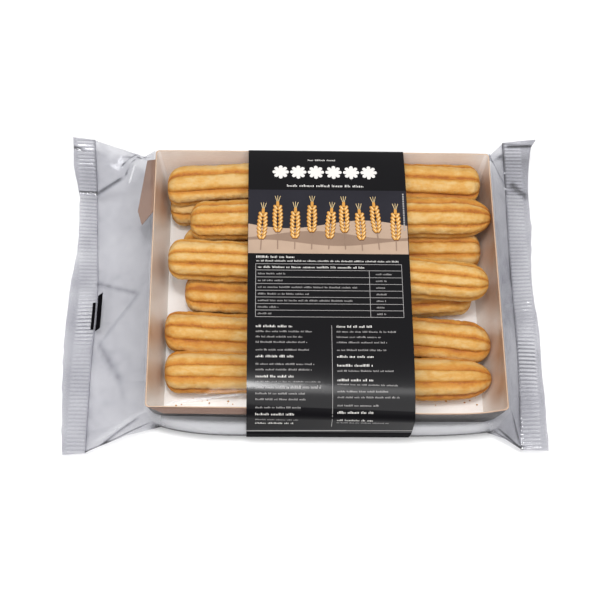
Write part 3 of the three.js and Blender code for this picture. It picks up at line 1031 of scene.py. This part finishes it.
# One level of the tray's wall, inside or outside face
def trayRing(height, offset):
    share = height / tray["rimHeight"]
    risen = min(share, 1)
    halfX, halfY = lerp(floorX, rimX, share) + offset, lerp(floorY, rimY, share) + offset
    ring = roundedRectangle(halfX, halfY, tray["cornerRound"] + max(offset, 0))
    x, y = ring[:, 0].copy(), ring[:, 1].copy()
    front = y < 0
    bow = np.where(front, *tray["wallBow"]) * np.sin(math.pi * risen * np.where(front, *tray["bowRise"]))
    ends = np.abs(x / rimX) ** np.where(front, *tray["bowEnds"])
    ring[:, 1] += bow * np.sign(y) * np.clip(1 - ends, 0, 1) * (np.abs(y) > halfY - 0.01)
    endBow = tray["endBow"] * math.sin(math.pi * risen)
    ring[:, 0] += endBow * np.clip(1 - (y / rimY) ** 4, 0, 1) * (x > halfX - 0.01)
    atFront = smoothStep(halfY - tray["frontReach"], halfY, -y)
    ring[:, 1] -= rimBulge(x) * bell(share - 1, tray["bulgeDown"]) * atFront
    footOut = lerp(*tray["frontFootOut"], smoothStep(-90, 60, x))
    ring[:, 1] += np.where(front, y * footOut * (1 - share) / halfY, 0)
    if offset >= 0:
        earOut = tray["earOut"] * (1 - share) * smoothStep(-0.1, 0.3, share)
        ring[:, 0] += np.sign(x) * earOut * atFront * smoothStep(tray["earStart"], halfX, np.abs(x))
    return np.concatenate([ring, np.full((len(ring), 1), height)], axis=1)


# Painted reflections of the churros on the glossy end walls, aslant up the board from each churro's tip, and
# painted shade over the whole back wall
def paintReflectionAndShade(points):
    paintedReflectionShade = np.zeros(points.shape[:-1])
    height = points[..., 2]
    for spec in churros.values():
        for (tipX, tipY), tipZ in ((spec["line"][0], spec["z"][0]), (spec["line"][-1], spec["z"][1])):
            away = points[..., 1] - tipY + 0.4 * (height - 0.6 * tipZ)
            near = bell(away, tray["reflectionReach"][int(tipX > 0)])
            near = near * (np.sign(tipX) * points[..., 0] > floorX - 3)
            paintedReflectionShade = np.maximum(paintedReflectionShade, near * smoothStep(22, 2, rimX - abs(tipX)))
    paintedReflectionShade *= np.where(points[..., 0] < 0, *tray["paintedReflectionShade"])
    # painted shade over the back wall
    paintedReflectionShade = np.maximum(paintedReflectionShade, tray["backShade"] * (points[..., 1] > floorY - 3))
    return paintedReflectionShade * smoothStep(0, 14, height) * (0.8 + 0.2 * valueNoise(points, 7, 90))


def makeTray():
    lift, board, rim, lipOut = (tray[key] for key in ("lift", "board", "rimHeight", "lip"))
    inner = [trayRing(h, -board) for h in np.linspace(lift + board, rim - 0.1, 15)]
    lip = [trayRing(rim, 0), trayRing(rim - 0.1, lipOut), trayRing(rim - 0.5, lipOut)]
    outer = [trayRing(h, 0) for h in np.linspace(rim - 0.8, lift, 9)]
    rings = np.array(inner + lip + outer)
    count = rings.shape[1]
    materials = [whiteBoard, wallBoardShaded, greyBoard, kraftBoard, cutBoard]
    white, wall, grey, kraft, cut = range(5)
    wallSlots = [white if k % (count // 4) < tray["cornerPoints"] - 1 else wall for k in range(count)]
    slots = wallSlots * (len(inner) - 1) + [cut] * count
    slots += [kraft] * (len(lip) * count) + [grey] * ((len(outer) - 1) * count) + [white, grey]
    faces = gridFaces(len(rings), count, closed=True) + endFaces(len(rings), count)
    paintedReflectionShade = paintReflectionAndShade(rings)
    paintedReflectionShade[len(inner):] = 0
    makePiece("tray", rings, faces, materials, faceSlots=slots,
              marks={"paintedReflectionShade": paintedReflectionShade}, sharp=30)


# Each glue flap: its corners in order round its edge, with heights from the rim, its thickness and board
flaps = {
    "glue_flap_left": ([(-96.0, 72, -0.9), (-96.0, 38.5, -0.9), (-102.4, 33.0, -6.7), (-105.2, 43, -9.3),
                        (-100.8, 74, -5.3)], 0.4, kraftBoard),
    "glue_flap_front": ([(-92.5, -77.9, -0.4), (-86.5, -78.5, -6.8), (-20, -78.9, -7.2),
                         (-20, -78.1, -0.4)], 0.3, kraftShaded),
}


def makeFlap(name, corners, thickness, material):
    corners = np.asarray(corners, float) + (0, 0, tray["rimHeight"])
    normal = np.cross(corners[1] - corners[0], corners[2] - corners[0])
    normal = normal / np.linalg.norm(normal) * thickness
    count = len(corners)
    faces = endFaces(2, count)
    faces += [(i, (i + 1) % count, (i + 1) % count + count, i + count) for i in range(count)]
    makePiece(name, np.concatenate([corners, corners + normal]), faces, [material], sharp=30)


# Crumbs on the tray's floor, along the front: small uneven grains, flattened where they lie
crumbs = {
    "count": 46,
    "size": (0.25, 0.75),
    "spread": (0.6, 1.3),
    "x": (-84, 86),
    "front": (-64.2, -58),
    "flat": (0.6, 0.4),  # in height, and below the middle
    "seed": 44,
}


def makeCrumbs():
    lots = np.random.default_rng(crumbs["seed"])
    shape = np.array([(1, 0, 0), (0, 1, 0), (-1, 0, 0), (0, -1, 0), (0, 0, 1), (0, 0, -1)], float)
    sides = [(0, 1, 4), (1, 2, 4), (2, 3, 4), (3, 0, 4), (1, 0, 5), (2, 1, 5), (3, 2, 5), (0, 3, 5)]
    high, below = crumbs["flat"]
    points, faces = [], []
    for k in range(crumbs["count"]):
        size = lots.uniform(*crumbs["size"])
        onFloor = tray["lift"] + tray["board"] + below * size
        place = np.array([lots.uniform(*crumbs["x"]), lots.uniform(*crumbs["front"]), onFloor])
        grain = shape * size * lots.uniform(*crumbs["spread"], (6, 1))
        grain[:, 2] = np.maximum(grain[:, 2] * high, -below * size)
        faces += [tuple(i + len(points) for i in side) for side in sides]
        points.extend(place + grain)
    makePiece("crumbs", points, faces, [doughCrust],
              marks={"crest": np.full(len(points), 0.5)})


makeTray()
for name, spec in flaps.items():
    makeFlap(name, *spec)
makeCrumbs()
print("tray made")


# The band's section at its left or right edge: [y, z, outward y, outward z], from the front foot
def bandPath(offset, shoulder):
    path = bodyOutline(0.0, shoulder)
    path = path[path[:, 1] > band["footHeight"]]
    heading = np.gradient(path, axis=0)
    heading /= np.linalg.norm(heading, axis=1)[:, None]
    outward = np.stack([-heading[:, 1], heading[:, 0]], -1)
    return np.concatenate([path + outward * offset, outward], axis=1)


# The length along a section, with its middle on top at a set value
def sectionLength(path):
    length = np.append(0, np.cumsum(np.linalg.norm(np.diff(path[:, :2], axis=0), axis=1)))
    onTop = path[:, 1] > tray["rimHeight"]
    return length - np.interp(0, path[onTop, 0], length[onTop]) + band["middleLength"]


bandTop = band["gap"] + band["thickness"]
bandLow = band["centre"] - band["width"] / 2
bandHigh = band["centre"] + band["width"] / 2
printSides = [bandPath(bandTop, shoulder) for shoulder in band["shoulders"]]
printLengths = [sectionLength(side) for side in printSides]


# A point of the band's surface from u, in mm along X, and v, in mm round it from the front foot
def onBand(u, v, height):
    share = (u - bandLow) / band["width"]
    numbers = np.arange(len(printSides[0]))
    place = lerp(*(np.interp(v, length, numbers) for length in printLengths), share)
    left, right = (np.stack([np.interp(place, numbers, values) for values in side.T]) for side in printSides)
    y, z, outY, outZ = lerp(left, right, share)
    return np.stack([u, y + outY * height, z + outZ * height], -1)


def makeBand():
    sections = []
    for shoulder in band["shoulders"]:
        outer, inner = bandPath(bandTop, shoulder)[:, :2], bandPath(band["gap"], shoulder)[:, :2]
        sections.append(np.concatenate([outer, inner[::-1]]))
    steps = np.linspace(0, 1, band["sections"])
    count = len(sections[0])
    points = np.array([np.column_stack([np.full(count, bandLow + t * band["width"]), lerp(*sections, t)])
                       for t in steps])
    faces = gridFaces(len(steps), count, closed=True)
    for row, turn in ((0, 1), (len(steps) - 1, -1)):
        for k in range(count // 2 - 1):
            start, end = row * count + k, (row + 1) * count - 1 - k
            faces.append((start, start + 1, end - 1, end)[::turn])
    corners = points.reshape(-1, 3)
    middles = np.array([corners[list(face)].mean(axis=0) for face in faces])
    front = middles[:, 1] < 0
    slots = np.where(front & (middles[:, 2] < band["frontHeight"]), 1, 0)
    slots = np.where(front & (middles[:, 2] < band["foldHeight"]), 2, slots)
    piece = makePiece("label_band", points, faces, [blackInk, rubbedInk, dullInk],
                      faceSlots=slots.tolist(), sharp=40)
    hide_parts("label")


# The print is kept as flat inked patches: two side lines in (u, v), an ink, and a layer on the band
printPatches = []


# A field from u left to u right, cut into short steps so that it follows the band
def addField(vLow, vHigh, left, right, ink, layer):
    v = np.linspace(vLow, vHigh, max(2, int((vHigh - vLow) / 2.0) + 1))
    sides = [np.stack([np.full_like(v, u), v], -1) for u in (left, right)]
    printPatches.append((*sides, ink, layer))


def addBar(u, v, width, height, ink, layer=2):
    addField(v - height / 2, v + height / 2, u, u + width, ink, layer)


# Moves (along, across) by an angle in degrees, to round (u, v)
def turnTo(u, v, along, across, angle):
    a = math.radians(angle)
    return np.stack([u + along * math.cos(a) - across * math.sin(a),
                     v + along * math.sin(a) + across * math.cos(a)], -1)


# A capsule or disc at (u, v), turned by an angle, as a field between its two halves
def addCapsule(u, v, length, width, angle, ink, layer):
    t = np.linspace(-1, 1, 25 if length > 4.5 else 11)
    radius = width / 2
    along = t * length / 2
    inEnd = np.clip((np.abs(along) - (length / 2 - radius)) / radius, 0, 1)
    half = np.sqrt(np.clip(1 - inEnd ** 2, 0, 1)) * radius
    sides = [turnTo(u, v, along, side * half, angle) for side in (1, -1)]
    printPatches.append((*sides, ink, layer))


rosette = {
    "radius": 4.7,
    "petals": 8,
    "petal": (0.58, 0.84, 0.46),  # shares of the radius: where its middle is, its length and width
    "disc": (0.5, 0.499),
}


def addRosette(u, v, ink):
    radius = rosette["radius"]
    out, long, wide = rosette["petal"]
    for k in range(rosette["petals"]):
        angle = 360 * k / rosette["petals"]
        a = math.radians(angle)
        addCapsule(u + out * radius * math.cos(a), v + out * radius * math.sin(a), long * radius,
                   wide * radius, angle, ink, 2)
    long, wide = rosette["disc"]
    addCapsule(u, v, long * radius, wide * radius, 0, ink, 3)


# Rows of short upright strokes that stand for words: they are plain bars, not letters. Widths and
# gaps are shares of the line's height.
strokes = {"inWord": (3, 12), "width": (0.18, 0.38), "heights": [0.6, 0.7, 1.0], "gap": 0.3, "wordGap": 0.7}


def addWords(u, v, width, height, ink, lots):
    at = u
    while at < u + width:
        for _ in range(lots.integers(*strokes["inWord"])):
            wide = height * lots.uniform(*strokes["width"])
            if at + wide > u + width:
                break
            tall = height * lots.choice(strokes["heights"])
            addBar(at, v - (height - tall) / 2, wide, tall, ink)
            at += wide + strokes["gap"] * height
        at += strokes["wordGap"] * height


ear = {
    "pairs": 7,  # of kernels, up the stem
    "pairPitch": 2.3,
    "kernel": (3.6, 1.6),  # length and width
    "shadow": (3.9, 1.9, 0.3),  # and how far it lies below
    "streak": (2.2, 0.45, 0.2),  # and how far it lies aside
    "kernelTurn": 32,
    "off": (0.7, 0.9),  # from the stem, and more where the ear swells
    "stemWidth": 0.7,
    "awn": (4.6, 0.25, 3.2),  # and how far its middle is from the tip
    "awnTurns": (-16, 0, 16),
}


# An ear of wheat: a stem, pairs of kernels up to its tip, and a pale streak on each kernel
def addEar(u, v, stem, lean, layer):
    a, pairs, pitch = math.radians(lean), ear["pairs"], ear["pairPitch"]
    up = np.array([-math.sin(a), math.cos(a)])
    side = np.array([math.cos(a), math.sin(a)])
    addCapsule(*(np.array([u, v]) + up * stem / 2), stem, ear["stemWidth"], 90 + lean, "tan", layer)
    foot = np.array([u, v]) + up * stem
    shadowLength, shadowWidth, drop = ear["shadow"]
    streakLength, streakWidth, aside = ear["streak"]
    near, far = ear["off"]
    for k in range(pairs):
        swell = math.sin(math.pi * (k + 1.6) / (pairs + 2.2))
        for turn in (-1, 1):
            place = foot + up * pitch * k + side * turn * (near + far * swell)
            angle = 90 + lean - turn * ear["kernelTurn"]
            addCapsule(place[0], place[1] - drop, shadowLength, shadowWidth, angle, "umber", layer + 1)
            addCapsule(*place, *ear["kernel"], angle, "gold", layer + 2)
            addCapsule(*(place + aside * side), streakLength, streakWidth, angle, "cream", layer + 3)
    tip = foot + up * pitch * pairs
    addCapsule(*tip, *ear["kernel"], 90 + lean, "gold", layer + 2)
    awnLength, awnWidth, awnOut = ear["awn"]
    for turn in ear["awnTurns"]:
        b = math.radians(lean + turn)
        middle = tip + awnOut * np.array([-math.sin(b), math.cos(b)])
        addCapsule(*middle, awnLength, awnWidth, 90 + lean + turn, "cream", layer + 1)


picture = {
    "v": (124.8, 165.0),
    "inset": 0.2,
    "hills": ((143.0, 2.6, "beige"), (136.6, 2.2, "tan"), (131.4, 1.8, "beige")),  # v, swing, ink
    "hillStep": 0.8,
    "hillLength": 13.5,
    "ears": 9,
    "earsInset": 7,
    "earFoot": 127.0,
    "stems": (8.5, 12.5),  # a short one and a tall one by turns
}


# The picture's place: a row of wheat ears over rolling beige hills on slate
def layOutPicture(lots):
    low, high = picture["v"]
    left, right, step = bandLow + picture["inset"], bandHigh - picture["inset"], picture["hillStep"]
    addField(low, high, left, right, "slate", 1)
    for k, (base, swing, ink) in enumerate(picture["hills"]):
        for u in np.arange(left, right - step, step):
            crown = base + swing * math.sin(u / picture["hillLength"] + 2.1 * k)
            addField(low, crown, u, u + step, ink, 2 + k)
    inset = picture["earsInset"]
    for k, u in enumerate(np.linspace(bandLow + inset, bandHigh - inset, picture["ears"])):
        tall = k % 2
        foot = picture["earFoot"] + lots.uniform(-0.5, 0.5)
        addEar(u, foot, picture["stems"][tall], lots.uniform(-5, 5), 5 + 2 * tall)


# Where the print stands on the band: u, v, width and height of a line, or as said
layout = {
    "overTitle": (-9, 186.2, 16, 1.1),
    "title": (-24.5, 25.3, 6, 177.3),  # first and last rosette, how many, and v
    "underTitle": (-21, 167.9, 43, 1.5),
    "sideMarks": (2.4, 0.8, 1.0),  # from the right edge, width and height
    "sideMarksV": (140.0, 163.0, 1.5),
    "heading": (-38, 122.7, 22, 1.3),
    "underHeading": (-38, 120.3, 78, 0.95),
    "rule": 0.24,
    "tableRows": [118.4, 114.6, 110.4, 106.4, 102.4, 98.4, 94.5, 90.7, 86.8],
    "tableSides": (-38.4, 41.2, 41.4),  # the left and right rules, and where the rows end
    "tableSplit": 23.4,
    "tableTitle": (-37, 116.5, 58, 1.15),
    "rowWords": ((-37, (15, 14, 54, 28, 51, 11, 8)), (27, (9, 6, 5, 6, 5, 5, 5))),  # u, and a width a row
    "small": 0.95,
    "columnRule": (2.3, 52, 60),
    # two columns of short paragraphs, from a v down: "h" a heading, "g" a gap, "l" a line
    "columns": ((-38.0, "hlllglhgllhllllglhglhg", 37), (5.0, "hlllglhghlghlllglhghl", 35)),
    "columnsV": (82.0, 24),
    "foldHighlight": (0.6, 0.9, 0.55),  # painted highlight along the side fold: up to this share of the width, and how high
}


def layOutPrint():
    lots = np.random.default_rng(21)
    small, rule, rows = layout["small"], layout["rule"], layout["tableRows"]
    addWords(*layout["overTitle"], "white", lots)
    first, last, count, titleV = layout["title"]
    for u in np.linspace(first, last, count):
        addRosette(u, titleV, "white")
    addWords(*layout["underTitle"], "white", lots)
    inset, wide, high = layout["sideMarks"]
    for v in np.arange(*layout["sideMarksV"]):
        addBar(bandHigh - inset, v, wide, high, "grey", 9)
    layOutPicture(lots)

    addWords(*layout["heading"], "white", lots)
    addWords(*layout["underHeading"], "white", lots)
    left, right, rowsEnd = layout["tableSides"]
    for v in rows:
        addBar(left, v, rowsEnd - left, rule, "grey")
    for u, top in ((left, rows[0]), (right, rows[0]), (layout["tableSplit"], rows[1])):
        addBar(u, (rows[-1] + top) / 2, rule, top - rows[-1], "grey")
    addWords(*layout["tableTitle"], "white", lots)
    for k in range(1, len(rows) - 1):
        for u, widths in layout["rowWords"]:
            addWords(u, (rows[k] + rows[k + 1]) / 2, widths[k - 1], small, "grey", lots)

    ruleU, ruleV, ruleHeight = layout["columnRule"]
    addBar(ruleU, ruleV, rule, ruleHeight, "grey")
    topV, lowestV = layout["columnsV"]
    for u, plan, width in layout["columns"]:
        v = topV
        for mark in plan:
            if mark == "h":
                addWords(u, v - 0.6, width * 0.55, 1.3, "white", lots)
                v -= 3.6
            elif mark == "l":
                addWords(u, v, lots.uniform(0.62, 0.95) * width, small, "grey", lots)
                v -= 3.05
            else:
                v -= 1.3
            if v < lowestV:
                break

    # painted highlight along the crease where the pack's side folds, less so to the right
    front = printSides[0][:, 0] < -rimY
    crease = np.interp(band["foldHeight"] + 0.7, printSides[0][front, 1], printLengths[0][front])
    share, leftHigh, rightHigh = layout["foldHighlight"]
    highlightLength = share * band["width"]
    addBar(bandLow, crease, highlightLength, leftHigh, "grey", 1)
    addBar(bandLow + highlightLength, crease, band["width"] - highlightLength, rightHigh, "grey", 1)


inkLayer = {"step": 0.035, "below": -0.04}  # in mm over the band


def makePrint():
    points, faces, slots = [], [], []
    names = list(inks)
    for sideA, sideB, ink, layer in printPatches:
        count = len(sideA)
        start = len(points)
        for height in (inkLayer["step"] * layer, inkLayer["below"]):
            for side in (sideA, sideB):
                points.extend(onBand(side[:, 0], side[:, 1], height))
        a, b, c, d = (start + k * count for k in range(4))
        for k in range(count - 1):
            faces += [(a + k, a + k + 1, b + k + 1, b + k), (c + k, d + k, d + k + 1, c + k + 1),
                      (a + k, c + k, c + k + 1, a + k + 1), (b + k, b + k + 1, d + k + 1, d + k)]
        end = count - 1
        faces += [(a, b, d, c), (a + end, c + end, d + end, b + end)]
        slots += [names.index(ink)] * (4 * end + 2)
    makePiece("label_print", points, faces, list(inks.values()), faceSlots=slots, sharp=30)


makeBand()
layOutPrint()
makePrint()
print("printed band made")
